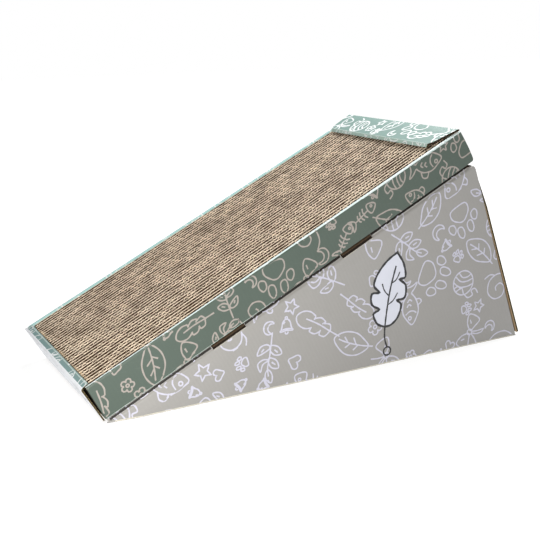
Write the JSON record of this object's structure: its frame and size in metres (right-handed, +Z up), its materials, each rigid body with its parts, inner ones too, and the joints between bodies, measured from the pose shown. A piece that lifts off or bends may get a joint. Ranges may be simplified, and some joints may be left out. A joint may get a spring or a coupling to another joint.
{
  "type": "cat scratcher",
  "caption": "Ramp-shaped corrugated cat scratcher: folded wedge base, tray on its sloping deck, scratch pad of glued strips and a hinged cover flap.",
  "frame": {"origin": "centre of the bottom of the whole part's box, on the floor", "axes": "+X along the length towards the high end, +Y across towards the far side, +Z up"},
  "size_m": [0.527, 0.21, 0.2469],
  "materials": {
    "base_print": "printed warm grey board, satin",
    "raw_board": "raw kraft board, matt",
    "tray_print": "printed sage green board, satin",
    "rim_print": "printed pale mint board, satin",
    "pad_board": "raw kraft strips with cut edges, matt"
  },
  "bodies": {
    "base": {"base_side_near": "base_print", "base_side_far": "base_print", "base_deck": "raw_board", "base_floor": "raw_board", "base_front_wall": "base_print", "base_dust_flap_near": "raw_board", "base_dust_flap_far": "raw_board"},
    "back": {"back_panel": "base_print"},
    "tray": {"tray_floor": "raw_board", "tray_side_near": "tray_print", "tray_side_far": "tray_print", "tray_wall_low": "rim_print", "tray_wall_high": "tray_print", "tray_tab_near": "raw_board", "tray_tab_far": "raw_board"},
    "pad": {"pad_strip_01": "pad_board", "pad_strip_02": "pad_board", "pad_strip_03": "pad_board", "pad_strip_04": "pad_board", "pad_strip_05": "pad_board", "pad_strip_06": "pad_board", "pad_strip_07": "pad_board", "pad_strip_08": "pad_board", "pad_strip_09": "pad_board", "pad_strip_10": "pad_board", "pad_strip_11": "pad_board", "pad_strip_12": "pad_board", "pad_strip_13": "pad_board", "pad_strip_14": "pad_board", "pad_strip_15": "pad_board", "pad_strip_16": "pad_board", "pad_strip_17": "pad_board", "pad_strip_18": "pad_board", "pad_strip_19": "pad_board", "pad_strip_20": "pad_board", "pad_strip_21": "pad_board", "pad_strip_22": "pad_board", "pad_strip_23": "pad_board", "pad_strip_24": "pad_board", "pad_strip_25": "pad_board", "pad_strip_26": "pad_board", "pad_strip_27": "pad_board", "pad_strip_28": "pad_board", "pad_strip_29": "pad_board", "pad_strip_30": "pad_board", "pad_strip_31": "pad_board", "pad_strip_32": "pad_board", "pad_strip_33": "pad_board", "pad_strip_34": "pad_board", "pad_strip_35": "pad_board"},
    "cover": {"cover_flap": "rim_print"},
    "lip": {"cover_lip": "rim_print"}
  },
  "joints": [
    {"name": "tray_lift", "type": "slide", "parent": "base", "child": "tray", "axis": [-0.4352, 0, 0.9003], "range_m": [0, 0.06]},
    {"name": "pad_lift", "type": "slide", "parent": "tray", "child": "pad", "axis": [-0.4352, 0, 0.9003], "range_m": [0, 0.038]},
    {"name": "cover_hinge", "type": "hinge", "parent": "tray", "child": "cover", "pos_m": [0.16346, 0, 0.24501], "axis": [0, 1, 0], "range_deg": [0, 184]},
    {"name": "lip_hinge", "type": "hinge", "parent": "cover", "child": "lip", "pos_m": [0.12912, 0, 0.23217], "axis": [0, 1, 0], "range_deg": [0, 50]},
    {"name": "back_panel_hinge", "type": "hinge", "parent": "base", "child": "back", "pos_m": [0.18888, 0, 0.20583], "axis": [0, -1, 0], "range_deg": [0, 90]}
  ],
  "couplings": [
    {"joint": "cover_hinge", "follows": "pad_lift", "rad_per_m": 84}
  ]
}
